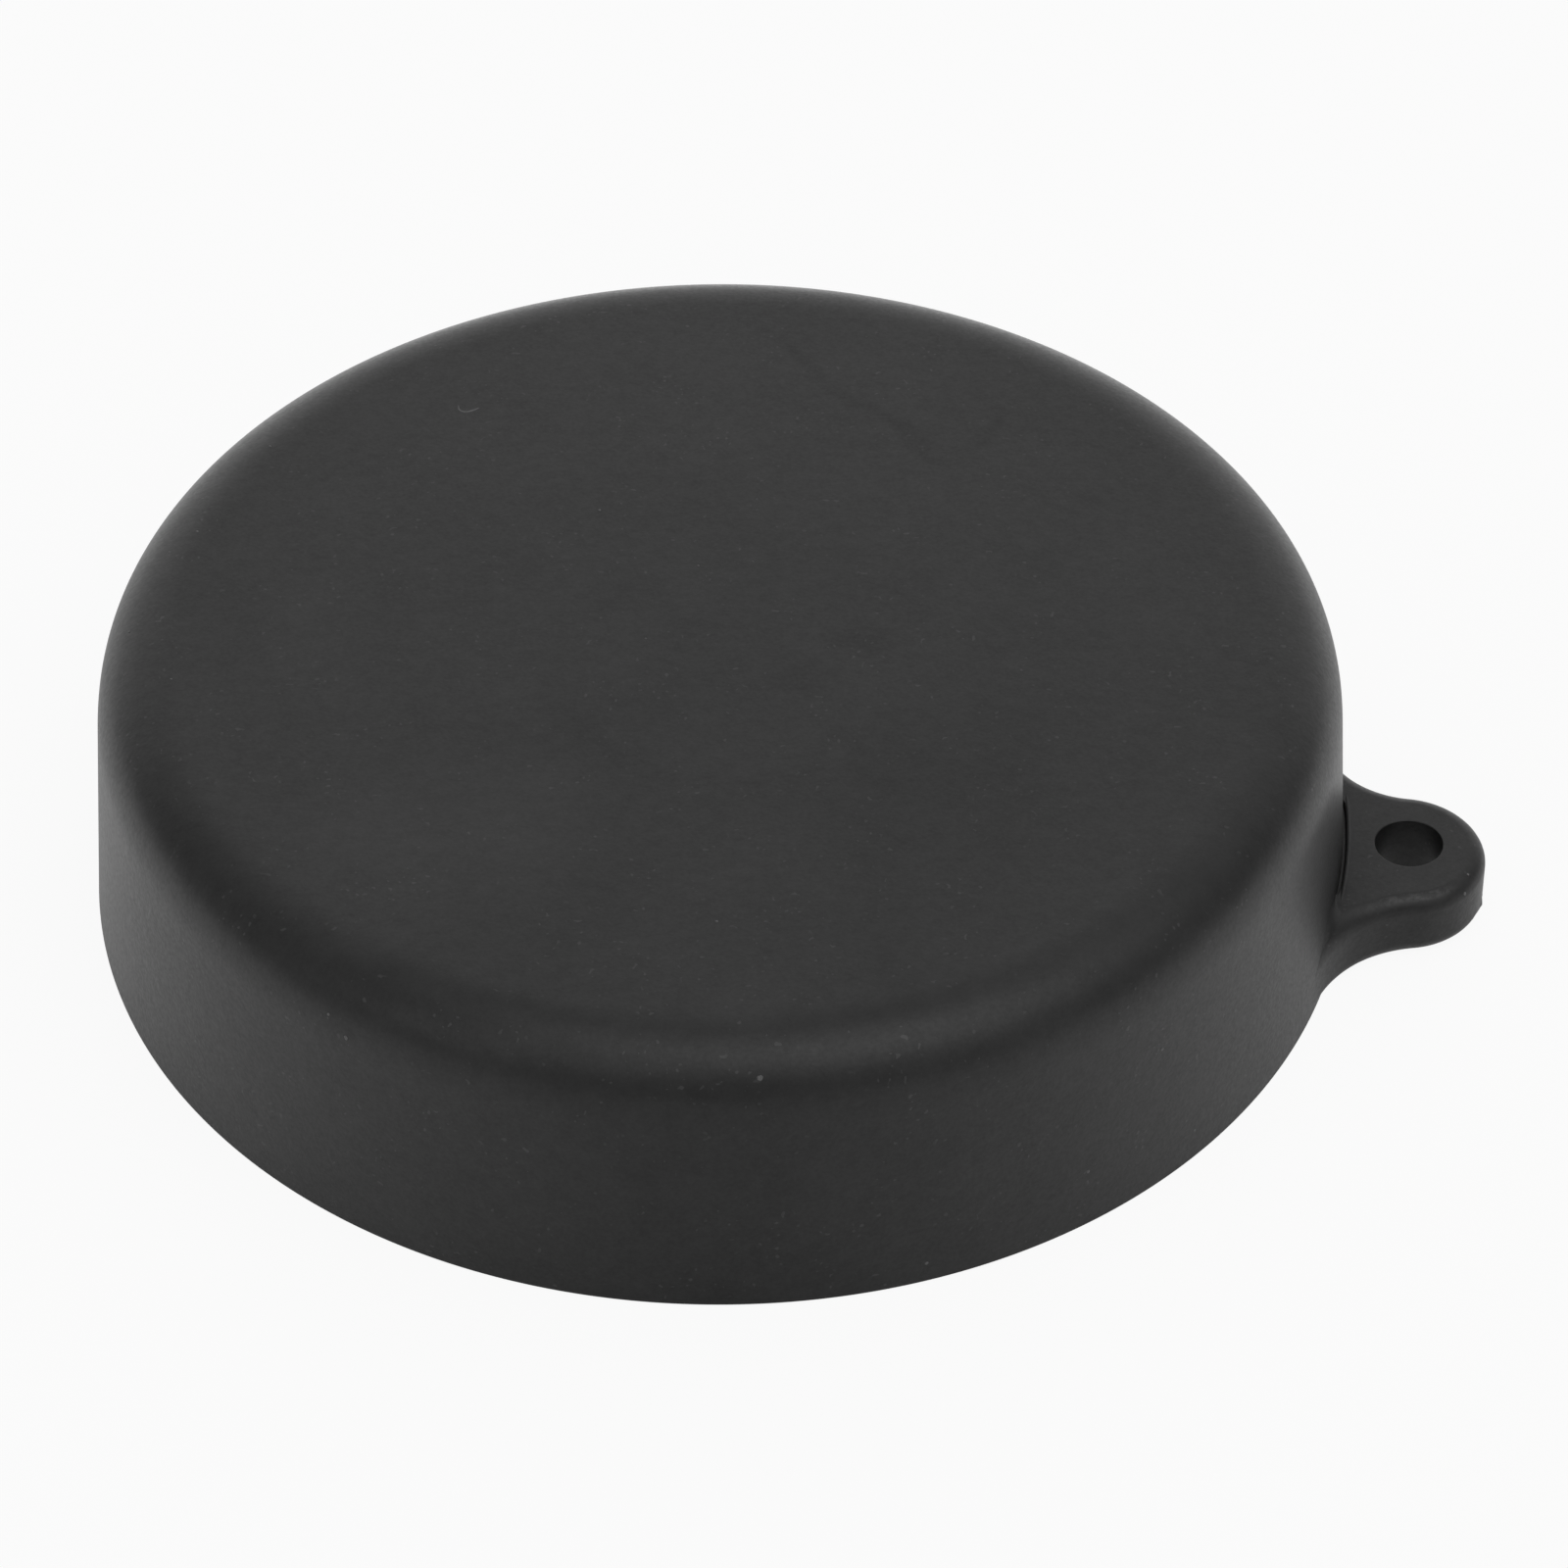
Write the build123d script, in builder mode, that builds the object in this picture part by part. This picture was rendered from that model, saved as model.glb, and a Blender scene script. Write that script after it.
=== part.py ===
"""Slip-on cover for the lens of an action camera, moulded in one piece of soft black rubber.

A shallow round cap with a drafted wall and a well rounded top edge. It stands on its open
mouth. A flat lug with a hole for a tether cord grows out of the wall, flush with the mouth.

Frame, in millimetres: the origin is the middle of the mouth, +Z points to the closed top
and +X points to the lug.
"""
from build123d import *
import math
import os

os.makedirs("parts", exist_ok=True)

# Cap
bore_diameter = 37.0        # slips over the rim of the lens
bore_depth = 7.8
wall = 1.5                  # side wall, measured at the mouth
top_thickness = 1.6
wall_draft = 3.0            # degrees that the outside leans in towards the top
edge_radius = 2.2           # round between the wall and the top
inner_corner_radius = 0.8

# Tether lug
lug_thickness = 2.3
end_offset = 1.81           # from the wall at the mouth to the middle of the lug's round end
top_end_radius = 2.66       # round end, at the lug's top face
mouth_end_radius = 2.47     # the same end at the mouth plane
short_flare_radius = 2.85   # concave flank that runs into the wall on the +Y side
long_flare_radius = 4.2     # the gentler flank on the -Y side
hole_diameter = 2.15
hole_offset = 1.98          # from the wall at the mouth to the axis of the hole
hole_side_offset = 0.18     # the hole lies this far to the +Y side of the round end's middle
lug_top_round = 0.53
lug_bottom_round = 0.3
flank_bury = 0.05           # how far the flanks run on into the wall

# Sizes that follow from those above
bore_radius = bore_diameter / 2
mouth_radius = bore_radius + wall
height = bore_depth + top_thickness
draft_slope = math.tan(math.radians(wall_draft))
top_radius = mouth_radius - height * draft_slope
end_x = mouth_radius + end_offset
hole_x = mouth_radius + hole_offset
lug_top_wall_radius = mouth_radius - lug_thickness * draft_slope


def flank(wall_radius, round_end, flare, side):
    """Gives a concave flank's root, middle and shoulder; side is 1 towards +Y, -1 towards -Y."""
    root_radius = wall_radius - flank_bury
    to_root = root_radius + flare
    to_end = round_end + flare
    flare_x = (end_x**2 + to_root**2 - to_end**2) / (2 * end_x)
    flare_centre = Vector(flare_x, side * math.sqrt(to_root**2 - flare_x**2))
    end_centre = Vector(end_x, 0)
    root = flare_centre * (root_radius / to_root)
    shoulder = end_centre + (flare_centre - end_centre) * (round_end / to_end)
    to_middle = ((root + shoulder) / 2 - flare_centre).normalized()
    middle = flare_centre + to_middle * flare
    return root, middle, shoulder


def lug_outline(wall_radius, round_end):
    """Gives the lug's plan: a round end, with a concave flank into the wall on each side."""
    root, middle, shoulder = flank(wall_radius, round_end, short_flare_radius, 1)
    far_root, far_middle, far_shoulder = flank(wall_radius, round_end, long_flare_radius, -1)
    with BuildSketch() as plan:
        with BuildLine():
            ThreePointArc(root, middle, shoulder)
            ThreePointArc(shoulder, (end_x + round_end, 0), far_shoulder)
            ThreePointArc(far_shoulder, far_middle, far_root)
            Line(far_root, root)
        make_face()
    return plan.sketch


# Lug, with its inner end inside the wall
with BuildPart() as lug:
    with BuildSketch(Plane.XY):
        add(lug_outline(mouth_radius, mouth_end_radius))
    with BuildSketch(Plane.XY.offset(lug_thickness)):
        add(lug_outline(lug_top_wall_radius, top_end_radius))
    loft(ruled=True)
    top_rim = lug.faces().sort_by(Axis.Z)[-1].edges().filter_by(GeomType.LINE, reverse=True)
    fillet(top_rim, lug_top_round)
    bottom_rim = lug.faces().sort_by(Axis.Z)[0].edges().filter_by(GeomType.LINE, reverse=True)
    fillet(bottom_rim, lug_bottom_round)

# Whole cover
with BuildPart() as lens_cover:
    with BuildSketch(Plane.XZ) as outside:
        with BuildLine():
            Polyline((0, 0), (mouth_radius, 0), (top_radius, height), (0, height), close=True)
        make_face()
        fillet(outside.vertices().sort_by_distance((top_radius, height))[0], edge_radius)
    revolve(axis=Axis.Z)
    add(lug.part)

    with BuildSketch(Plane.XZ) as inside:
        with BuildLine():
            Polyline((0, 0), (bore_radius, 0), (bore_radius, bore_depth), (0, bore_depth), close=True)
        make_face()
        fillet(inside.vertices().sort_by_distance((bore_radius, bore_depth))[0], inner_corner_radius)
    revolve(axis=Axis.Z, mode=Mode.SUBTRACT)

    with Locations((hole_x, hole_side_offset, lug_thickness)):
        Hole(hole_diameter / 2)

lens_cover.part.label = "lens_cover"
export_step(lens_cover.part, "parts/lens_cover.step")
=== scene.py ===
"""Looks of the lens cover: matte black rubber on a white floor, seen as in the photograph."""
import bmesh
import bpy
import math
from mathutils import Matrix, Vector, noise
from mathutils.geometry import tessellate_polygon


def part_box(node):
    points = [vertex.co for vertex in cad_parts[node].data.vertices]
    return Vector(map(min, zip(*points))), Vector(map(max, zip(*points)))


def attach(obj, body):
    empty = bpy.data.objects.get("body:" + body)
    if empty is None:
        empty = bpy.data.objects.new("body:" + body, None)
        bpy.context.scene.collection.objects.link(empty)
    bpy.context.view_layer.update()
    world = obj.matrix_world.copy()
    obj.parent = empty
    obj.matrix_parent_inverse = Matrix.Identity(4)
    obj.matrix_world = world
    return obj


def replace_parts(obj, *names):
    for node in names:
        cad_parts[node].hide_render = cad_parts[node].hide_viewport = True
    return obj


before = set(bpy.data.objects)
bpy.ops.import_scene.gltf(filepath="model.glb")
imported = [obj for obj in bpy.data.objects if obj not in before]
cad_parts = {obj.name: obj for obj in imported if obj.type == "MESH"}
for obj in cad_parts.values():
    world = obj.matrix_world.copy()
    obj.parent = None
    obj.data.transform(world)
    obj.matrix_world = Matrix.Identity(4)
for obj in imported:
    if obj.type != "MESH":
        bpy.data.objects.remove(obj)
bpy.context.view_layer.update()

MM = 0.001
UP = Vector((0.0, 0.0, 1.0))

# Sizes of the cover in millimetres: the CAD part's, but for the lug's side, which stands nearer upright
lowest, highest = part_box("lens_cover")
MOUTH_RADIUS = -lowest.x / MM
HEIGHT = highest.z / MM
WALL_DRAFT = math.radians(3.0)
WALL_SLOPE = math.tan(WALL_DRAFT)
BORE_RADIUS = 18.5
BORE_DEPTH = 7.8
INNER_ROUND = 0.8
LUG_TOP = 2.3
LUG_FOOT = 0.01                     # a hair above the cap's rim, which it runs over
LUG_TOP_ROUND = 0.53
LUG_MOUTH_ROUND = 0.55
LUG_END_X = MOUTH_RADIUS + 1.81
LUG_END_RADIUS = 2.64
LUG_MOUTH_END_RADIUS = 2.62
LUG_FLARES = {1: 2.85, -1: 4.2}     # radius of the concave flank on the +Y side and on the -Y side
LUG_BURIED = 0.6                    # how far the lug's underside runs on into the wall
HOLE_CENTRE = (MOUTH_RADIUS + 1.98, 0.18)
HOLE_RADIUS = 1.075

# Camera: where it stands, what it looks at and how it is turned about its own axis
CAMERA_AZIMUTH = 5.27               # degrees from -Y towards +X
CAMERA_ELEVATION = 42.192
CAMERA_DISTANCE = 239.7 * MM
CAMERA_AIM = Vector((1.705, 3.909, 0.0)) * MM
CAMERA_ROLL = 0.161
FOCAL_LENGTH = 170.8
SENSOR_WIDTH = 36.0
CLIP_START = 0.01

# Studio: soft round lamps as (name, azimuth from the studio's front, elevation, power in watts)
STUDIO_FRONT = 5.27
LAMP_DISTANCE = 0.8
LAMP_SIZE = 0.6
LAMPS = [
    ("overhead", 0, 90, 0.64),
    ("front_high", 0, 62, 0.51),
    ("right_high", 60, 62, 0.69),
    ("back_right_high", 120, 62, 0.24),
    ("front_right", 45, 38, 0.44),
    ("front_left", -45, 38, 0.47),
    ("back", 180, 38, 0.19),
    ("back_low", 180, 15, 0.50),
    ("back_right_low", 150, 15, 0.50),
    ("back_left_low", -150, 15, 0.60),
]
WORLD_STRENGTH = 0.25
FLOOR_HALF = 3.0
FLOOR_DROP = 0.01                   # millimetres below the cover's rim, so that the two don't flicker
FLOOR_GREY = 0.8
FLOOR_ROUGHNESS = 0.9
FLOOR_WHITE = 0.92                  # share of plain white in what the camera sees of the floor
# Light that the floor adds to what it throws back, by angle in degrees from the studio's front
FLOOR_GLOW = [(0, 0.0), (60, 0.31), (90, 0.47), (120, 0.46), (180, 1.45)]

# Fineness of the pieces, and the small rounds that the CAD part leaves sharp
CAP_SEGMENTS = 384
TOP_RINGS = (0.02, 4.0, 8.0, 12.0)  # radii of the rings on the flat top, from the axis outwards
CEILING_RINGS = (12.0, 6.0, 0.02)   # the same under it, from the wall inwards
EDGE_LENGTH = 4.45                  # of the round between top and wall, along its profile
EDGE_STEPS = 40
EDGE_SUBSTEPS = 20
ROUND_STEPS = 8
LUG_STEPS = 32
HOLE_STEPS = 96
RIM_ROUND = 0.08
HOLE_ROUND = 0.05

# Near flank of the lug: towards its root the rim and the corner above it grow soft
SOFT_ANGLES = (7.0, 16.0)           # degrees from +X towards -Y where that starts and is complete
SOFT_RIM = 1.1
SOFT_MOUTH_ROUND = 0.3
SOFT_FILLET = 1.8
FILLET_START = 0.04
FILLET_SINK = 0.002                 # how far the fillet's edges lie inside the wall and the lug
FILLET_STEPS = 120
FILLET_ARC_STEPS = 16
BALL_ROUNDS = 30                    # of the search for where the ball that shapes it rests

# Groove left by the mould between the wall and the lug's top face, with a thin bead along its lip
GROOVE_RADIUS = 19.99               # of the arc that its lip follows
GROOVE_DEPTH = 0.18
GROOVE_ANGLES = (-8.4, 7.6)
GROOVE_STEPS = 64
GROOVE_FADE = 6.0                   # one over the share of its length where an end runs out
GROOVE_DRAW = 0.3                   # how far the lip draws in to the wall at the ends
GROOVE_ROUND = 0.03
GROOVE_ROUND_STEPS = 4
GROOVE_BURIED = 0.4                 # how far its floor runs on into the wall
BEAD_WIDTH = 0.14
BEAD_FLATNESS = 0.5
BEAD_STEPS = 96
BEAD_FADE = 8.0
BEAD_INSET = 0.02                   # from the groove's lip
BEAD_SINK = 0.01

# Stub of the mould's gate at the lug's tip
STUB_HEIGHT = 1.3
STUB_FRONT = 24.46                  # how far out it reaches at the mouth plane
STUB_LEAN = 0.045                   # how much it leans back for each millimetre up
STUB_CORNERS = [(23.4, 1.1), (STUB_FRONT - 0.1, 1.1), (STUB_FRONT, 0.0), (24.14, -0.77), (23.4, -1.3)]
STUB_ROUNDS = (0.35, 0.07, 0.25)
STUB_ROUND_STEPS = 5
STUB_BULGE = 0.02
STUB_BULGE_HEIGHT = 0.4
STUB_ROOF_START = 0.3               # above STUB_HEIGHT, where it falls back into the lug
STUB_ROOF_SLOPE = 1.6
STUB_STEPS = 12
STUB_ROOF_STEPS = 9
STUB_ROOF_STEP = 0.07
STUB_LONG_RUN = 0.225               # runs of its outline at least this long are divided
STUB_RUN_PIECES = 5
STUB_ROUGHNESS = 0.03
STUB_RAGGEDNESS = (0.3, 1.2)        # share of the roughness at the foot, and what the height adds
STUB_NOISE = 5.0

# Dust: crumbs on the cap as (angle, distance along the profile from the axis, size),
# and on the rim of the lug's round end as (angle, tilt of the rim there, size)
CAP_CRUMBS = [
    (167.2, 17.54, 0.10), (126.2, 7.46, 0.09), (-85.4, 13.06, 0.10), (-176.0, 2.34, 0.08),
    (151.4, 17.5, 0.09), (106.0, 3.66, 0.07), (-177.6, 18.7, 0.09), (-168.8, 17.22, 0.08),
    (-42.2, 22.66, 0.12), (-81.4, 19.3, 0.17), (-50.8, 25.9, 0.11), (-119.8, 20.58, 0.14),
    (-38.0, 26.94, 0.10), (-122.0, 20.1, 0.09), (-66.8, 27.3, 0.11),
]
LUG_CRUMBS = [(-40.0, 69.2, 0.11), (-27.8, 24.7, 0.09)]
CRUMB_FLATNESS = 0.35
CRUMB_UNEVENNESS = 0.5
CRUMB_NOISE = 9.0
CRUMB_VARIETY = 3.0                 # how fast that noise changes from place to place on the cover
DUST_GREY = (0.084, 0.156)
DUST_ROUGHNESS = (0.75, 0.95)
DUST_GRAIN_SIZE = 0.04
DUST_RELIEF = 0.01
LINT_PATH = [(-9.54, 10.96), (-9.46, 10.72), (-9.3, 10.64), (-9.05, 10.73), (-8.86, 10.88)]
LINT_WIDTHS = (0.25, 0.6, 0.9, 1.0, 0.5)
LINT_RADIUS = 0.075
LINT_SINK = 0.75                    # share of the fibre's radius that its middle lies under the surface

# Rubber: sizes are those of the blotches, in millimetres, and greys are parts of full white
RUBBER_GREY = (0.010, 0.014)
RUBBER_ROUGHNESS = (0.42, 0.46)
CLOUD_SIZE = 7.0                    # of the clouds in which grey and roughness vary between those values
GRAIN_SIZE = 0.13
GRAIN_GREY = 0.002
GRAIN_ROUGHNESS = 0.04
PEBBLE_SIZE = 0.45
PEBBLE_HEIGHT = 1.6                 # for each unit of the grain's height
RELIEF = 0.006                      # height of the relief, in millimetres
TOP_RELIEF = 0.65                   # share of it on faces that look up
MOTTLES = [(0.5, 2.0, 0.0025), (2.2, 3.0, 0.002)]   # size, detail, how much paler or darker
SPECK_SIZE = 0.16
SPECK_LEVELS = (0.74, 0.78)         # of the noise, between which a speck sets in
SPECK_PATCH_SIZE = 1.3
SPECK_PATCH_LEVELS = (0.5, 0.62)
SPECK_GREY = 0.025
# Pale band on the lug's near top rim: partly rubbed wear, partly a painted highlight
RIM_WEAR_AND_HIGHLIGHT_SIZE = 0.22
RIM_WEAR_AND_HIGHLIGHT_LEVELS = (0.42, 0.6)
RIM_WEAR_AND_HIGHLIGHT_GREY = 0.025
RIM_WEAR_AND_HIGHLIGHT_X = (20.6, 21.2)              # where the pale rim, partly worn and partly a painted highlight, sets in and is complete, in x
RIM_WEAR_AND_HIGHLIGHT_Y = (-1.6, -2.0)              # and in y
PLAIN_GLOSS = 0.5
LUG_SIDE_GLOSS = 0.31
LUG_DULL_X = (19.3, 20.4)           # where the lug's duller sides set in and are complete, in x

# Where each of these sets in and is complete, by how far up a face looks: the z of its normal
FACES_UP = (0.95, 0.999)
FACES_SIDEWAYS = (0.8, 0.2)
RELIEF_FACES = (0.3, 1.0)
RIM_BELOW = (0.70, 0.85)            # the pale part of the rim, worn and painted highlight, from below
RIM_ABOVE = (0.995, 0.97)           # and from above

# Faint smears on the top face: middle x and y, length, width, direction in degrees, how much paler
SMEARS = [
    (1.3, 14.4, 5.0, 0.7, -53.0, -0.006),
    (4.6, 11.1, 6.0, 0.9, -39.0, -0.007),
    (7.5, 10.9, 3.6, 0.7, 56.0, -0.005),
    (-2.7, -5.3, 8.0, 1.2, -38.0, -0.004),
    (4.4, 0.4, 2.6, 1.8, -30.0, -0.006),
    (2.3, -1.8, 2.2, 1.6, 20.0, -0.005),
    (4.8, -5.3, 4.6, 1.4, -48.0, -0.004),
    (-7.8, -9.4, 11.0, 8.0, 10.0, 0.007),
    (-13.0, -1.0, 7.0, 4.0, 80.0, 0.004),
    (8.5, -6.5, 14.0, 9.0, 20.0, -0.004),
]
SMEAR_FADE = (0.3, 1.1)             # shares of its half width where a smear starts to fade and is gone
SMEAR_RIPPLE_SIZE = 2.5
SMEAR_PULL = 2.0                    # millimetres that the ripple pulls their outlines about


def direction(azimuth, elevation):
    """Unit vector to a point at that azimuth and elevation; azimuth 0 lies towards -Y."""
    a = math.radians(azimuth)
    e = math.radians(elevation)
    return Vector((math.sin(a) * math.cos(e), -math.cos(a) * math.cos(e), math.sin(e)))


def spoke_at(angle):
    """Level unit vector away from the axis, at an angle in radians from +X."""
    return Vector((math.cos(angle), math.sin(angle), 0.0))


def fade(t, rate):
    """Rises from 0 at both ends of a run, where t is 0 and 1, to 1 between them."""
    return min(1.0, rate * t, rate * (1.0 - t))


def make_camera():
    camera = bpy.data.objects.new("camera", bpy.data.cameras.new("camera"))
    camera.data.sensor_width = SENSOR_WIDTH
    camera.data.lens = FOCAL_LENGTH
    camera.data.clip_start = CLIP_START
    camera.location = direction(CAMERA_AZIMUTH, CAMERA_ELEVATION) * CAMERA_DISTANCE
    forward = (CAMERA_AIM - camera.location).normalized()
    level = forward.to_track_quat("-Z", "Y").to_matrix()
    roll = Matrix.Rotation(math.radians(CAMERA_ROLL), 3, "Z")
    camera.rotation_euler = (level @ roll).to_euler()
    bpy.context.scene.collection.objects.link(camera)
    bpy.context.scene.camera = camera


def make_lamps():
    for name, azimuth, elevation, power in LAMPS:
        light = bpy.data.lights.new(name, "AREA")
        light.shape = "DISK"
        light.size = LAMP_SIZE
        light.energy = power
        lamp = bpy.data.objects.new(name, light)
        lamp.location = direction(STUDIO_FRONT + azimuth, elevation) * LAMP_DISTANCE
        lamp.rotation_euler = (-lamp.location).to_track_quat("-Z", "Y").to_euler()
        bpy.context.scene.collection.objects.link(lamp)


def make_world():
    """Even light all round, and plain white where the camera sees past the floor."""
    world = bpy.data.worlds.new("studio")
    world.use_nodes = True
    nodes = world.node_tree.nodes
    links = world.node_tree.links
    background = nodes["Background"]
    background.inputs["Color"].default_value = (1.0, 1.0, 1.0, 1.0)
    strength = nodes.new("ShaderNodeMapRange")
    strength.inputs["To Min"].default_value = WORLD_STRENGTH
    strength.inputs["To Max"].default_value = 1.0
    path = nodes.new("ShaderNodeLightPath")
    links.new(path.outputs["Is Camera Ray"], strength.inputs["Value"])
    links.new(strength.outputs["Result"], background.inputs["Strength"])
    bpy.context.scene.world = world


def make_floor():
    mesh = bpy.data.meshes.new("floor")
    corners = [(x * FLOOR_HALF, y * FLOOR_HALF, 0.0) for x, y in ((-1, -1), (1, -1), (1, 1), (-1, 1))]
    mesh.from_pydata(corners, [], [(0, 1, 2, 3)])
    floor = bpy.data.objects.new("floor", mesh)
    floor.location.z = -FLOOR_DROP * MM
    bpy.context.scene.collection.objects.link(floor)
    mesh.materials.append(floor_material())


def floor_material():
    """Pale floor, near white to the camera and clear from below.

    What it throws back at the cover is brighter behind than in front.
    """
    material = bpy.data.materials.new("floor")
    n = Nodes(material)
    n.shader.inputs["Base Color"].default_value = (FLOOR_GREY, FLOOR_GREY, FLOOR_GREY, 1.0)
    n.shader.inputs["Roughness"].default_value = FLOOR_ROUGHNESS
    place = n.add("ShaderNodeTexCoord").outputs["Object"]
    bearing = n.add("ShaderNodeVectorMath", {"operation": "NORMALIZE"})
    n.put(bearing.inputs[0], place)
    forwards = n.add("ShaderNodeVectorMath", {"operation": "DOT_PRODUCT"})
    n.put(forwards.inputs[0], bearing.outputs["Vector"])
    forwards.inputs[1].default_value = direction(STUDIO_FRONT, 0.0)
    angle = n.math("ARCCOSINE", forwards.outputs["Value"])
    glow = 0.0
    for (start, low), (end, high) in zip(FLOOR_GLOW, FLOOR_GLOW[1:]):
        rise = n.remap(angle, math.radians(start), math.radians(end), 0.0, high - low)
        glow = n.math("ADD", rise, glow)
    light = n.add("ShaderNodeEmission", Strength=glow)
    white = n.add("ShaderNodeEmission", Strength=1.0)
    thrown = n.add("ShaderNodeAddShader")
    n.put(thrown.inputs[0], n.shader.outputs["BSDF"])
    n.put(thrown.inputs[1], light.outputs["Emission"])
    seen = n.mix(FLOOR_WHITE, n.shader.outputs["BSDF"], white.outputs["Emission"])
    by_camera = n.add("ShaderNodeLightPath").outputs["Is Camera Ray"]
    either = n.mix(by_camera, thrown.outputs["Shader"], seen)
    from_below = n.add("ShaderNodeNewGeometry").outputs["Backfacing"]
    clear = n.add("ShaderNodeBsdfTransparent").outputs["BSDF"]
    surface = n.mix(from_below, either, clear)
    n.put(n.tree.nodes["Material Output"].inputs["Surface"], surface)
    return material


class Nodes:
    """Adds nodes to a material, with their sockets set or linked by name."""

    def __init__(self, material):
        material.use_nodes = True
        self.tree = material.node_tree
        self.shader = self.tree.nodes["Principled BSDF"]

    def add(self, kind, settings=None, **sockets):
        node = self.tree.nodes.new(kind)
        for key, value in (settings or {}).items():
            setattr(node, key, value)
        for key, value in sockets.items():
            self.put(node.inputs[key.replace("_", " ")], value)
        return node

    def put(self, socket, value):
        if isinstance(value, bpy.types.NodeSocket):
            self.tree.links.new(value, socket)
        else:
            socket.default_value = value

    def mix(self, share, first, second):
        """Two shaders mixed; share is how much of the second."""
        node = self.add("ShaderNodeMixShader", Fac=share)
        self.put(node.inputs[1], first)
        self.put(node.inputs[2], second)
        return node.outputs["Shader"]

    def math(self, operation, *values):
        node = self.tree.nodes.new("ShaderNodeMath")
        node.operation = operation
        for socket, value in zip(node.inputs, values):
            self.put(socket, value)
        return node.outputs["Value"]

    def total(self, first, *rest):
        for value in rest:
            first = self.math("ADD", first, value)
        return first

    def product(self, first, *rest):
        for value in rest:
            first = self.math("MULTIPLY", first, value)
        return first

    def blotches(self, place, size, detail=2.0):
        """Noise between 0 and 1 whose blotches are about size millimetres wide."""
        node = self.add("ShaderNodeTexNoise", Vector=place, Scale=1.0 / (size * MM), Detail=detail)
        return node.outputs["Fac"]

    def remap(self, value, low, high, to_low=0.0, to_high=1.0):
        node = self.add("ShaderNodeMapRange", Value=value, From_Min=low, From_Max=high)
        node.inputs["To Min"].default_value = to_low
        node.inputs["To Max"].default_value = to_high
        return node.outputs["Result"]

    def set_in(self, coordinate, start, full):
        """Goes from 0 to 1 between two places on an axis, given in millimetres."""
        return self.remap(coordinate, start * MM, full * MM)

    def spread(self, blotches, to_low, to_high):
        """Carries the range in which noise mostly lies to the one given."""
        return self.remap(blotches, 0.3, 0.7, to_low, to_high)


def rubber_material(name, scuffed_and_highlit=False):
    """Black moulded rubber: a fine matte grain, pale specks and a sheen that varies in clouds.

    The plain kind has faint smears on its top face. The scuffed kind, for the lug, is duller on
    its sides and pale along its near rim, partly rubbed wear and partly a painted highlight.
    """
    material = bpy.data.materials.new(name)
    n = Nodes(material)
    texture = n.add("ShaderNodeTexCoord")
    place = texture.outputs["Object"]
    upward = n.add("ShaderNodeSeparateXYZ", Vector=texture.outputs["Normal"]).outputs["Z"]
    grain = n.blotches(place, GRAIN_SIZE)
    pebble = n.blotches(place, PEBBLE_SIZE, detail=1.0)
    cloud = n.blotches(place, CLOUD_SIZE, detail=3.0)

    shade = n.total(n.spread(grain, -GRAIN_GREY, GRAIN_GREY), n.spread(cloud, *RUBBER_GREY))
    for size, detail, swing in MOTTLES:
        shade = n.total(shade, n.spread(n.blotches(place, size, detail), -swing, swing))
    shade = n.total(shade, n.product(specks(n, place), SPECK_GREY))
    if scuffed_and_highlit:
        # pale band on the lug's near rim: partly rubbed wear, partly a painted highlight
        shade = n.total(shade, n.product(rim_wear_and_highlight(n, place, upward), RIM_WEAR_AND_HIGHLIGHT_GREY))
        outward = n.add("ShaderNodeSeparateXYZ", Vector=place).outputs["X"]
        dull = n.product(n.set_in(outward, *LUG_DULL_X), n.remap(upward, *FACES_SIDEWAYS))
        n.put(n.shader.inputs["Specular IOR Level"], n.remap(dull, 0.0, 1.0, PLAIN_GLOSS, LUG_SIDE_GLOSS))
    else:
        shade = n.total(shade, n.product(smears(n, place), n.remap(upward, *FACES_UP)))
    colour = n.add("ShaderNodeCombineColor", Red=shade, Green=shade, Blue=shade)
    n.put(n.shader.inputs["Base Color"], colour.outputs["Color"])

    rough = n.total(n.spread(cloud, *RUBBER_ROUGHNESS), n.spread(grain, GRAIN_ROUGHNESS, -GRAIN_ROUGHNESS))
    n.put(n.shader.inputs["Roughness"], rough)

    height = n.total(grain, n.product(pebble, PEBBLE_HEIGHT))
    strength = n.remap(upward, *RELIEF_FACES, 1.0, TOP_RELIEF)
    bump = n.add("ShaderNodeBump", Height=height, Distance=RELIEF * MM, Strength=strength)
    n.put(n.shader.inputs["Normal"], bump.outputs["Normal"])
    return material


def specks(n, place):
    """Small specks, 0 or 1 but for their soft edges, that come in loose patches."""
    speck = n.remap(n.blotches(place, SPECK_SIZE, detail=0.0), *SPECK_LEVELS)
    patch = n.remap(n.blotches(place, SPECK_PATCH_SIZE, detail=1.0), *SPECK_PATCH_LEVELS)
    return n.product(speck, patch)


def rim_wear_and_highlight(n, place, upward):
    """Where the lug's top rim is pale, partly rubbed wear and partly a painted highlight: its -Y side, from
    beyond the root to the tip.
    """
    axes = n.add("ShaderNodeSeparateXYZ", Vector=place)
    rim = n.product(n.remap(upward, *RIM_BELOW), n.remap(upward, *RIM_ABOVE))
    rim = n.product(rim, n.set_in(axes.outputs["Y"], *RIM_WEAR_AND_HIGHLIGHT_Y), n.set_in(axes.outputs["X"], *RIM_WEAR_AND_HIGHLIGHT_X))
    return n.product(rim, n.remap(n.blotches(place, RIM_WEAR_AND_HIGHLIGHT_SIZE), *RIM_WEAR_AND_HIGHLIGHT_LEVELS))


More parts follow.
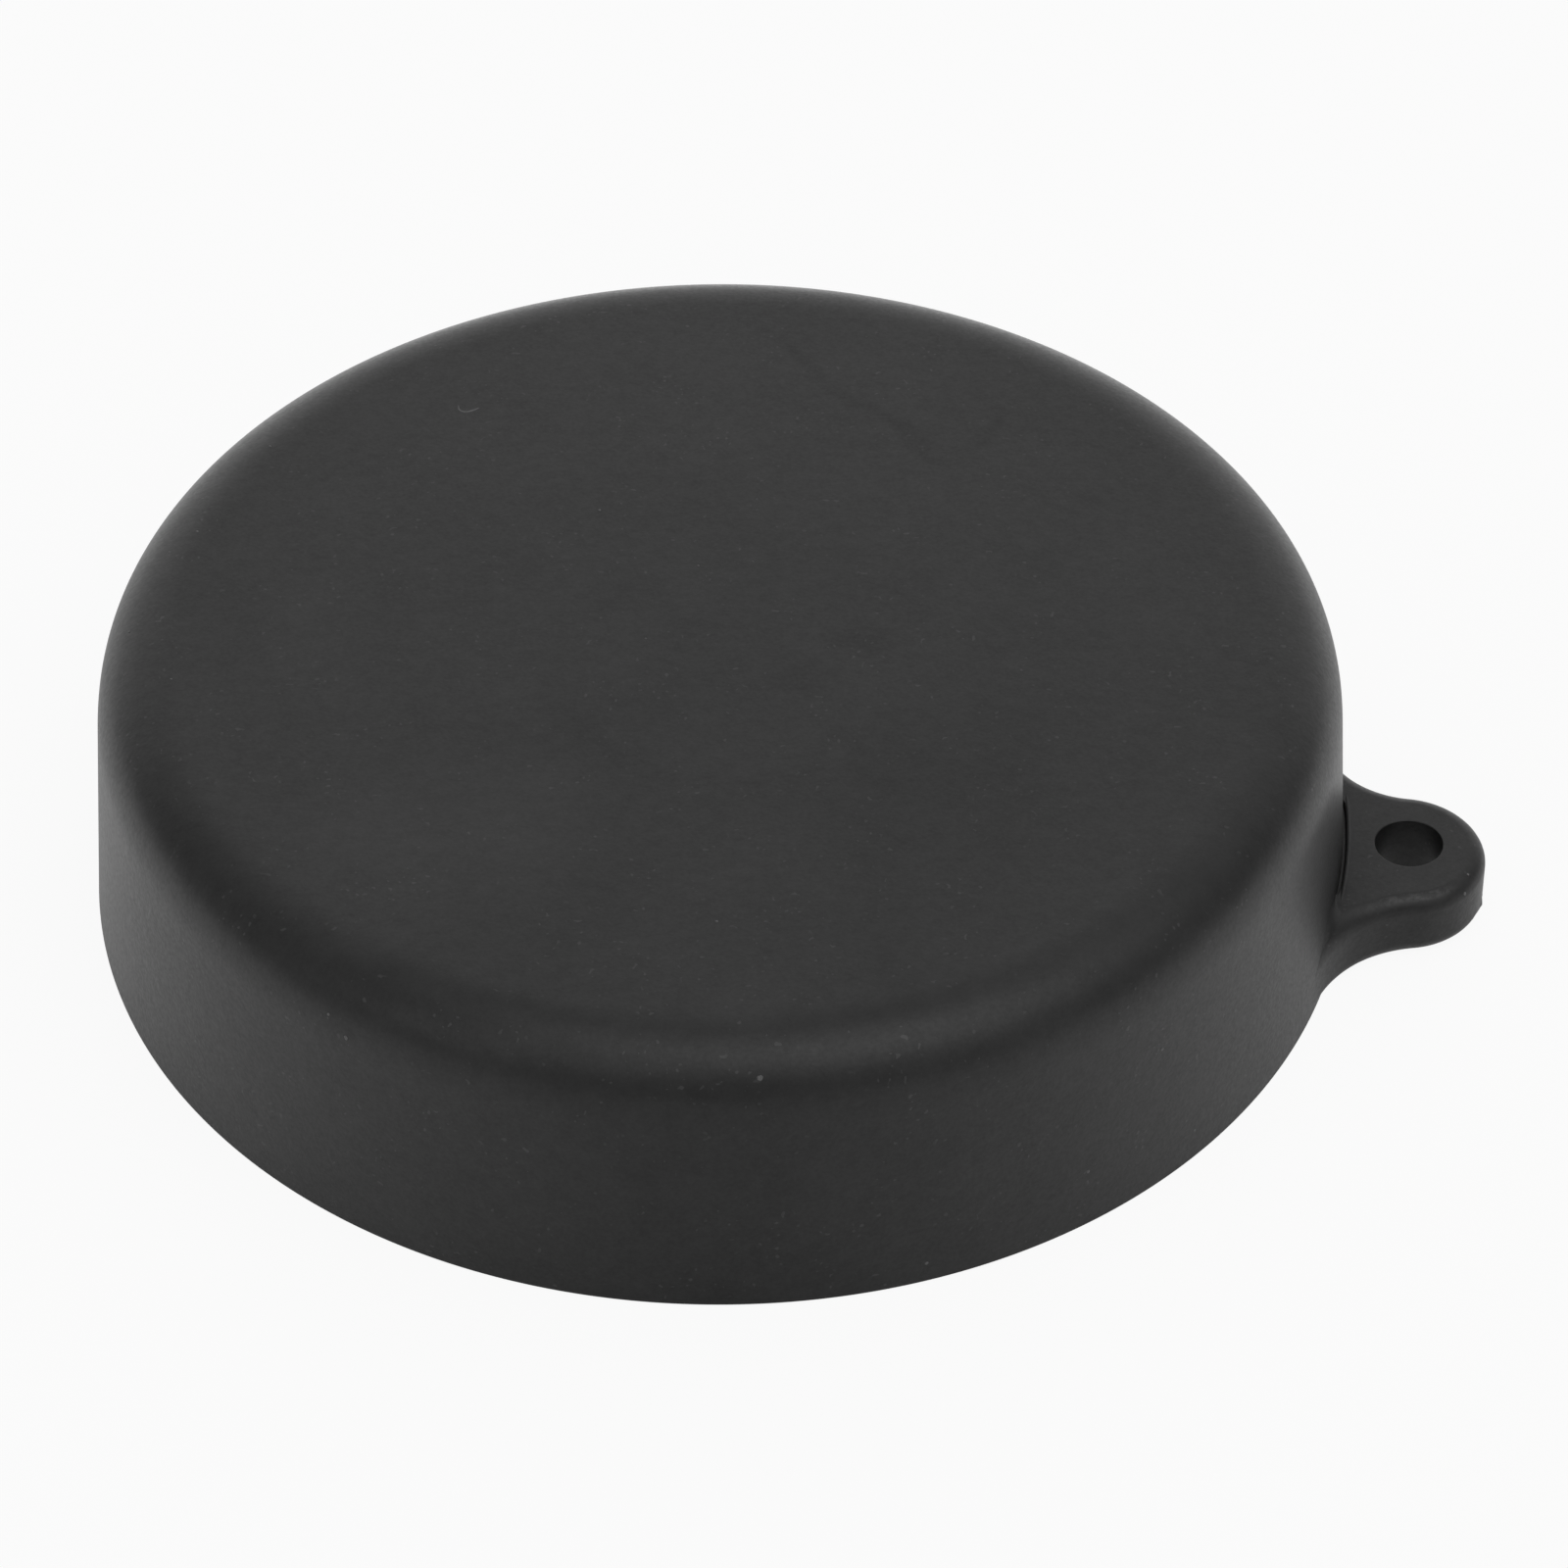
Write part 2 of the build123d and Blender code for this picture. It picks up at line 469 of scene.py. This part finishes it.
def smears(n, place):
    """Sum of the soft oval smears, their outlines pulled about by noise."""
    ripple = n.add("ShaderNodeTexNoise", Vector=place, Scale=1.0 / (SMEAR_RIPPLE_SIZE * MM), Detail=2.0)
    pull = n.add("ShaderNodeVectorMath", {"operation": "MULTIPLY_ADD"})
    n.put(pull.inputs[0], ripple.outputs["Color"])
    pull.inputs[1].default_value = (SMEAR_PULL * MM, SMEAR_PULL * MM, 0.0)
    n.put(pull.inputs[2], place)
    middle_pull = SMEAR_PULL / 2
    total = 0.0
    for x, y, length, width, turn, paler in SMEARS:
        oval = n.add("ShaderNodeMapping", {"vector_type": "TEXTURE"}, Vector=pull.outputs["Vector"])
        oval.inputs["Location"].default_value = Vector((x + middle_pull, y + middle_pull, HEIGHT)) * MM
        oval.inputs["Rotation"].default_value = (0.0, 0.0, math.radians(turn))
        oval.inputs["Scale"].default_value = (length / 2 * MM, width / 2 * MM, 1.0)
        reach = n.add("ShaderNodeVectorMath", {"operation": "LENGTH"})
        n.put(reach.inputs[0], oval.outputs["Vector"])
        total = n.total(n.remap(reach.outputs["Value"], *SMEAR_FADE, paler, 0.0), total)
    return total


def dust_material():
    """Pale grey lint and dust, dull and uneven."""
    material = bpy.data.materials.new("dust")
    n = Nodes(material)
    place = n.add("ShaderNodeTexCoord").outputs["Object"]
    fibre = n.blotches(place, DUST_GRAIN_SIZE)
    shade = n.spread(fibre, *DUST_GREY)
    colour = n.add("ShaderNodeCombineColor", Red=shade, Green=shade, Blue=shade)
    n.put(n.shader.inputs["Base Color"], colour.outputs["Color"])
    n.put(n.shader.inputs["Roughness"], n.spread(fibre, *DUST_ROUGHNESS))
    bump = n.add("ShaderNodeBump", Height=fibre, Distance=DUST_RELIEF * MM)
    n.put(n.shader.inputs["Normal"], bump.outputs["Normal"])
    return material


class Skin:
    """Collects points in millimetres, each with its normal, and the faces between them."""

    def __init__(self):
        self.points = []
        self.normals = []
        self.faces = []

    def row(self, pairs):
        """Adds (point, normal) pairs and gives their numbers."""
        first = len(self.points)
        for point, normal in pairs:
            self.points.append(point * MM)
            self.normals.append(normal)
        return list(range(first, len(self.points)))

    def sheet(self, rows, closed=False):
        """Joins neighbouring rows by quads; closed joins each row's end to its start as well."""
        for low, high in zip(rows, rows[1:]):
            count = len(low) if closed else len(low) - 1
            for k in range(count):
                m = (k + 1) % len(low)
                self.faces.append((low[k], low[m], high[m], high[k]))

    def fill(self, outer, hole, downwards):
        """A flat face between an outline and a hole, both given as point numbers."""
        loops = [[self.points[i] / MM for i in loop] for loop in (outer, hole)]
        both = outer + hole
        for triangle in tessellate_polygon(loops):
            corners = [both[i] for i in triangle]
            a, b, c = (self.points[i] for i in corners)
            if ((b - a).cross(c - a).z < 0) != downwards:
                corners.reverse()
            self.faces.append(corners)

    def piece(self, name, material, exact=True):
        """Makes the mesh; exact keeps the normals given, otherwise they follow the faces."""
        mesh = bpy.data.meshes.new(name)
        mesh.from_pydata(self.points, [], self.faces)
        mesh.shade_smooth()
        if exact:
            mesh.normals_split_custom_set_from_vertices(self.normals)
        mesh.materials.append(material)
        return add_piece(name, mesh)


def add_piece(name, data):
    piece = bpy.data.objects.new(name, data)
    bpy.context.scene.collection.objects.link(piece)
    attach(piece, "root")
    return piece


def rounded(path, radii, steps):
    """Arcs at a plane path's inner corners, as (point, normal to the left of the path) pairs."""
    pairs = []
    for before, corner, after, radius in zip(path, path[1:], path[2:], radii):
        into = (Vector(corner) - Vector(before)).normalized()
        out = (Vector(after) - Vector(corner)).normalized()
        turn = math.atan2(into.x * out.y - into.y * out.x, into.dot(out))
        side = math.copysign(1.0, turn)
        left = Vector((-into.y, into.x))
        centre = Vector(corner) - into * radius * math.tan(abs(turn) / 2) + left * side * radius
        for k in range(steps + 1):
            c = math.cos(turn * k / steps)
            s = math.sin(turn * k / steps)
            normal = Vector((left.x * c - left.y * s, left.x * s + left.y * c))
            pairs.append((centre - normal * side * radius, normal))
    return pairs


def top_edge():
    """The round between top and wall, as (point, normal) pairs in the (r, z) plane.

    Its curvature rises from nothing at the flat top and dies away again at the wall.
    """
    full_turn = math.pi / 2 - WALL_DRAFT
    count = EDGE_STEPS * EDGE_SUBSTEPS
    pairs = []
    r = z = 0.0
    for k in range(count + 1):
        t = k / count
        tilt = full_turn * (3 * t**2 - 2 * t**3)
        if k % EDGE_SUBSTEPS == 0:
            pairs.append((Vector((r, z)), Vector((math.sin(tilt), math.cos(tilt)))))
        r += math.cos(tilt) * EDGE_LENGTH / count
        z -= math.sin(tilt) * EDGE_LENGTH / count
    end = pairs[-1][0]
    shift = Vector((MOUTH_RADIUS - WALL_SLOPE * (HEIGHT + end.y) - end.x, HEIGHT))
    return [(point + shift, normal) for point, normal in pairs]


def cap(material):
    """The round cap, turned from its profile. It stands for the whole CAD part."""
    up = Vector((0.0, 1.0))
    profile = [(Vector((r, HEIGHT)), up) for r in TOP_RINGS]
    profile += top_edge()
    wall_top = profile[-1][0]
    path = [wall_top, (MOUTH_RADIUS, 0), (BORE_RADIUS, 0), (BORE_RADIUS, BORE_DEPTH), (0, BORE_DEPTH)]
    profile += rounded(path, (RIM_ROUND, RIM_ROUND, INNER_ROUND), ROUND_STEPS)
    profile += [(Vector((r, BORE_DEPTH)), -up) for r in CEILING_RINGS]
    skin = Skin()
    rows = []
    for point, normal in profile:
        ring = []
        for k in range(CAP_SEGMENTS):
            spoke = spoke_at(2 * math.pi * k / CAP_SEGMENTS)
            ring.append((spoke * point.x + UP * point.y, spoke * normal.x + UP * normal.y))
        rows.append(skin.row(ring))
    skin.sheet(rows[::-1], closed=True)
    skin.faces.append(rows[0])
    skin.faces.append(rows[-1][::-1])
    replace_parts(skin.piece("cap", material), "lens_cover")


def flare_circle(side, wall_radius, end_radius):
    """Centre and radius, in plan, of the lug's concave flank on one side."""
    flare = LUG_FLARES[side]
    to_root = wall_radius + flare
    to_end = end_radius + flare
    x = (LUG_END_X**2 + to_root**2 - to_end**2) / (2 * LUG_END_X)
    return Vector((x, side * math.sqrt(to_root**2 - x**2))), flare


def arc(centre, radius, start, end, steps, hollow):
    """Plan points along an arc with their outward normals; hollow turns the normals inwards."""
    pairs = []
    for k in range(steps + 1):
        spoke = spoke_at(start + (end - start) * k / steps).to_2d()
        pairs.append((centre + spoke * radius, -spoke if hollow else spoke))
    return pairs


def lug_plan(wall_radius, end_radius):
    """The lug's outline from its root on the -Y side round the end to its root on the +Y side."""
    end_centre = Vector((LUG_END_X, 0.0))
    turns = {}
    for side in (-1, 1):
        centre, flare = flare_circle(side, wall_radius, end_radius)
        to_root = math.atan2(-centre.y, -centre.x)
        to_end = math.atan2(end_centre.y - centre.y, end_centre.x - centre.x)
        sweep = (to_end - to_root + math.pi) % (2 * math.pi) - math.pi
        turns[side] = (centre, flare, to_root, to_root + sweep)
    near, near_flare, near_root, near_shoulder = turns[-1]
    far, far_flare, far_root, far_shoulder = turns[1]
    end_start = math.atan2(near.y - end_centre.y, near.x - end_centre.x)
    end_stop = math.atan2(far.y - end_centre.y, far.x - end_centre.x)
    outline = arc(near, near_flare, near_root, near_shoulder, LUG_STEPS, True)
    outline += arc(end_centre, end_radius, end_start, end_stop, 2 * LUG_STEPS, False)[1:-1]
    outline += arc(far, far_flare, far_shoulder, far_root, LUG_STEPS, True)
    return outline


def softness(angle):
    """How far the lug's near side has gone from crisp (0) to soft (1) at that angle from +X."""
    start, full = SOFT_ANGLES
    share = (-math.degrees(angle) - start) / (full - start)
    share = min(max(share, 0.0), 1.0)
    return share * share * (3.0 - 2.0 * share)


def rim_round(angle):
    return LUG_TOP_ROUND + (SOFT_RIM - LUG_TOP_ROUND) * softness(angle)


def mouth_round(angle):
    return LUG_MOUTH_ROUND + (SOFT_MOUTH_ROUND - LUG_MOUTH_ROUND) * softness(angle)


def rim_band(skin, mouth_plan, top_plan, rounds):
    """The side between two plans, with its top and mouth rims rounded; gives its columns of points."""
    columns = []
    for (low, facing), (high, _), radii in zip(mouth_plan, top_plan, rounds):
        lean = (high - low).dot(facing)
        path = [(lean - 1, LUG_TOP), (lean, LUG_TOP), (0, LUG_FOOT), (-1, LUG_FOOT)]
        column = []
        for point, normal in rounded(path, radii, ROUND_STEPS):
            share = point.y / LUG_TOP
            place = low.lerp(high, share) + facing * (point.x - lean * share)
            outward = (facing * normal.x).to_3d() + UP * normal.y
            column.append((place.to_3d() + UP * point.y, outward))
        columns.append(skin.row(column))
    return columns


def lug(material):
    """The tether lug with its side, rounded rims, hole and groove."""
    skin = Skin()
    mouth_plan = lug_plan(MOUTH_RADIUS, LUG_MOUTH_END_RADIUS)
    top_plan = lug_plan(MOUTH_RADIUS - LUG_TOP * WALL_SLOPE, LUG_END_RADIUS)
    angles = [math.atan2(point.y, point.x) for point, _ in top_plan]
    rounds = [(rim_round(angle), mouth_round(angle)) for angle in angles]
    outside = rim_band(skin, mouth_plan, top_plan, rounds)
    skin.sheet(outside)
    ring = arc(Vector(HOLE_CENTRE), HOLE_RADIUS, 2 * math.pi, 0, HOLE_STEPS, True)[:-1]
    inside = rim_band(skin, ring, ring, [(HOLE_ROUND, HOLE_ROUND)] * len(ring))
    skin.sheet(inside + inside[:1])
    buried = skin.row([(Vector((MOUTH_RADIUS - LUG_BURIED, 0.0, LUG_FOOT)), -UP)])
    lip = groove(skin)
    skin.fill([column[0] for column in outside] + lip[::-1], [column[0] for column in inside], False)
    skin.fill([column[-1] for column in outside] + buried, [column[-1] for column in inside], True)
    skin.piece("lug", material)


def groove(skin):
    """The groove along the foot of the wall; gives its lip's points, from the -Y side to the +Y side."""
    lip = []
    columns = []
    start, end = GROOVE_ANGLES
    floor = LUG_TOP - GROOVE_DEPTH
    path = [(1, LUG_TOP), (0, LUG_TOP), (0, floor), (-1, floor)]
    for step in range(GROOVE_STEPS + 1):
        t = step / GROOVE_STEPS
        radius = GROOVE_RADIUS - GROOVE_DRAW * (1.0 - fade(t, GROOVE_FADE))**2
        spoke = spoke_at(math.radians(start + (end - start) * t))
        column = []
        for point, normal in rounded(path, (GROOVE_ROUND, GROOVE_ROUND), GROOVE_ROUND_STEPS):
            place = spoke * (radius + point.x) + UP * point.y
            column.append((place, -spoke * normal.x - UP * normal.y))
        foot, upright = column[-1]
        column.append((foot - spoke * GROOVE_BURIED, upright))
        columns.append(skin.row(column))
        lip.append(columns[-1][0])
    skin.sheet(columns[::-1])
    return lip


def lug_reach(angle):
    """How far the lug runs out from the wall along a radius at that angle, at its top face."""
    wall_radius = MOUTH_RADIUS - LUG_TOP * WALL_SLOPE
    centre, flare = flare_circle(1 if angle > 0 else -1, wall_radius, LUG_END_RADIUS)
    along = spoke_at(angle).to_2d().dot(centre)
    inside = along**2 - centre.length_squared + flare**2
    if inside < 0:
        return LUG_END_RADIUS
    return along - math.sqrt(inside) - wall_radius


def rolling_ball(angle, radius):
    """A ball against the wall and the lug, as (r, z, turn at which it touches the lug).

    Where the lug narrows into its flank the ball sinks over the lug's rounded rim. It is None
    once wall and flank have run into each other.
    """
    rim = rim_round(angle)
    rim_r = MOUTH_RADIUS - LUG_TOP * WALL_SLOPE + lug_reach(angle) - rim
    rim_z = LUG_TOP - rim
    z = LUG_TOP + radius
    for _ in range(BALL_ROUNDS):
        r = MOUTH_RADIUS - z * WALL_SLOPE + radius / math.cos(WALL_DRAFT)
        if r <= rim_r:
            return r, z, -math.pi / 2
        drop = (rim + radius)**2 - (r - rim_r)**2
        if drop <= 0:
            return None
        z = 0.5 * z + 0.5 * (rim_z + math.sqrt(drop))
    turn = math.atan2(rim_z - z, rim_r - r)
    return r, z, turn - 2 * math.pi if turn > 0 else turn


def root_fillet(material):
    """The soft corner between the wall and the lug's near flank, where a growing ball rolls along it."""
    skin = Skin()
    rows = []
    end = WALL_DRAFT - math.pi
    for step in range(FILLET_STEPS + 1):
        t = step / FILLET_STEPS
        angle = -math.radians(SOFT_ANGLES[0] + (SOFT_ANGLES[1] - SOFT_ANGLES[0]) * t)
        radius = FILLET_START + SOFT_FILLET * softness(angle)
        ball = rolling_ball(angle, radius)
        if ball is None:
            break
        r, z, start = ball
        spoke = spoke_at(angle)
        row = []
        for k in range(FILLET_ARC_STEPS + 1):
            turn = start + (end - start) * k / FILLET_ARC_STEPS
            toward = spoke * math.cos(turn) + UP * math.sin(turn)
            row.append((spoke * r + UP * z + toward * (radius + FILLET_SINK), -toward))
        rows.append(skin.row(row))
    skin.sheet(rows)
    skin.piece("root_fillet", material)


def mould_bead(material):
    """The thin flat bead along the lip of the groove, with pointed ends."""
    skin = Skin()
    rows = []
    start, end = GROOVE_ANGLES
    radius = GROOVE_RADIUS + BEAD_INSET + BEAD_WIDTH / 2
    for step in range(BEAD_STEPS + 1):
        t = step / BEAD_STEPS
        half = BEAD_WIDTH / 2 * fade(t, BEAD_FADE)
        spoke = spoke_at(math.radians(start + (end - start) * t))
        middle = spoke * radius + UP * (LUG_TOP - BEAD_SINK)
        row = []
        for k in range(ROUND_STEPS + 1):
            turn = math.pi * k / ROUND_STEPS
            out = spoke * math.cos(turn)
            up = UP * math.sin(turn)
            place = middle + (out + up * BEAD_FLATNESS) * half
            row.append((place, (out * BEAD_FLATNESS + up).normalized()))
        rows.append(skin.row(row))
    skin.sheet(rows[::-1])
    skin.piece("mould_bead", material)


def stub_outline(z):
    """The gate stub's outline at a height, as (point, normal) pairs from its far side to its near side."""
    over = max(0.0, z - STUB_HEIGHT)
    bulge = STUB_BULGE * math.sin(min(math.pi, over / STUB_BULGE_HEIGHT * math.pi))
    roof = STUB_ROOF_SLOPE * max(0.0, over - STUB_ROOF_START)
    back = Vector((STUB_LEAN * z - bulge + roof, 0.0))
    front = [Vector(corner) - back for corner in STUB_CORNERS[:3]]
    path = front + [Vector(corner) for corner in STUB_CORNERS[3:]]
    turns = rounded(path, STUB_ROUNDS, STUB_ROUND_STEPS)
    return [(path[0], turns[0][1])] + turns + [(path[-1], turns[-1][1])]


def gate_stub(material):
    """The stub at the lug's tip where the mould's gate was torn off: a wedge with a ragged, bulging top."""
    skin = Skin()
    rows = []
    levels = [STUB_HEIGHT * k / STUB_STEPS for k in range(STUB_STEPS + 1)]
    levels += [STUB_HEIGHT + STUB_ROOF_STEP * (k + 1) for k in range(STUB_ROOF_STEPS)]
    foot_share, rise_share = STUB_RAGGEDNESS
    for z in levels:
        outline = stub_outline(z)
        ragged = STUB_ROUGHNESS * (foot_share + rise_share * z / STUB_HEIGHT)
        row = []
        for (point, normal), (after, after_normal) in zip(outline, outline[1:]):
            pieces = STUB_RUN_PIECES if (after - point).length >= STUB_LONG_RUN else 1
            for k in range(pieces):
                facing = normal.lerp(after_normal, k / pieces).normalized().to_3d()
                place = point.lerp(after, k / pieces).to_3d() + UP * z
                row.append((place + facing * ragged * noise.noise(place * STUB_NOISE), facing))
        rows.append(skin.row(row))
    skin.sheet(rows[::-1])
    skin.faces.append(rows[0])
    skin.piece("gate_stub", material, exact=False)


def on_cap(angle, run):
    """Point and normal on the cap, at an angle and a distance along its profile from the axis."""
    profile = [(Vector((0.0, HEIGHT)), Vector((0.0, 1.0)))] + top_edge()
    down_wall = Vector((WALL_SLOPE, -1.0)).normalized() * HEIGHT
    profile.append((profile[-1][0] + down_wall, profile[-1][1]))
    for (start, _), (end, normal) in zip(profile, profile[1:]):
        step = (end - start).length
        if run <= step:
            point = start.lerp(end, run / step)
            break
        run -= step
    spoke = spoke_at(math.radians(angle))
    return spoke * point.x + UP * point.y, (spoke * normal.x + UP * normal.y).normalized()


def on_lug_rim(angle, tilt):
    """Point and normal on the rounded top rim of the lug's end, at an angle about its middle."""
    spoke = spoke_at(math.radians(angle))
    normal = spoke * math.sin(math.radians(tilt)) + UP * math.cos(math.radians(tilt))
    middle = Vector((LUG_END_X, 0.0, LUG_TOP - LUG_TOP_ROUND)) + spoke * (LUG_END_RADIUS - LUG_TOP_ROUND)
    return middle + normal * LUG_TOP_ROUND, normal


def dust(material):
    """The few crumbs of dust that lie on the cover, as flat uneven lumps in one piece."""
    places = [(*on_cap(angle, run), size) for angle, run, size in CAP_CRUMBS]
    places += [(*on_lug_rim(angle, tilt), size) for angle, tilt, size in LUG_CRUMBS]
    bm = bmesh.new()
    for point, normal, size in places:
        lump = bmesh.ops.create_icosphere(bm, subdivisions=2, radius=size / 2)["verts"]
        turn = normal.to_track_quat("Z", "Y").to_matrix()
        for vertex in lump:
            level = noise.noise(vertex.co * CRUMB_NOISE + point * CRUMB_VARIETY)
            uneven = 1.0 + CRUMB_UNEVENNESS * level
            flat = Vector((vertex.co.x, vertex.co.y, CRUMB_FLATNESS * vertex.co.z)) * uneven
            vertex.co = (point + turn @ flat) * MM
    mesh = bpy.data.meshes.new("dust")
    bm.to_mesh(mesh)
    bm.free()
    mesh.shade_smooth()
    mesh.materials.append(material)
    add_piece("dust", mesh)


def lint(material):
    """A short fibre of lint on the top face, a soft hook that lies on the rubber."""
    curve = bpy.data.curves.new("lint", "CURVE")
    curve.dimensions = "3D"
    curve.bevel_depth = LINT_RADIUS * MM
    curve.bevel_resolution = 3
    curve.use_fill_caps = True
    spline = curve.splines.new("BEZIER")
    spline.bezier_points.add(len(LINT_PATH) - 1)
    for knot, (x, y), width in zip(spline.bezier_points, LINT_PATH, LINT_WIDTHS):
        knot.co = Vector((x, y, HEIGHT - LINT_RADIUS * LINT_SINK * width)) * MM
        knot.radius = width
        knot.handle_left_type = "AUTO"
        knot.handle_right_type = "AUTO"
    curve.materials.append(material)
    add_piece("lint", curve)


make_camera()
make_world()
make_floor()
make_lamps()
rubber = rubber_material("moulded_rubber")
lug_rubber = rubber_material("scuffed_highlit_rubber", scuffed_and_highlit=True)
cap(rubber)
lug(lug_rubber)
root_fillet(rubber)
mould_bead(rubber)
gate_stub(lug_rubber)
crumbs = dust_material()
dust(crumbs)
lint(crumbs)

bpy.context.scene.view_settings.view_transform = "Standard"
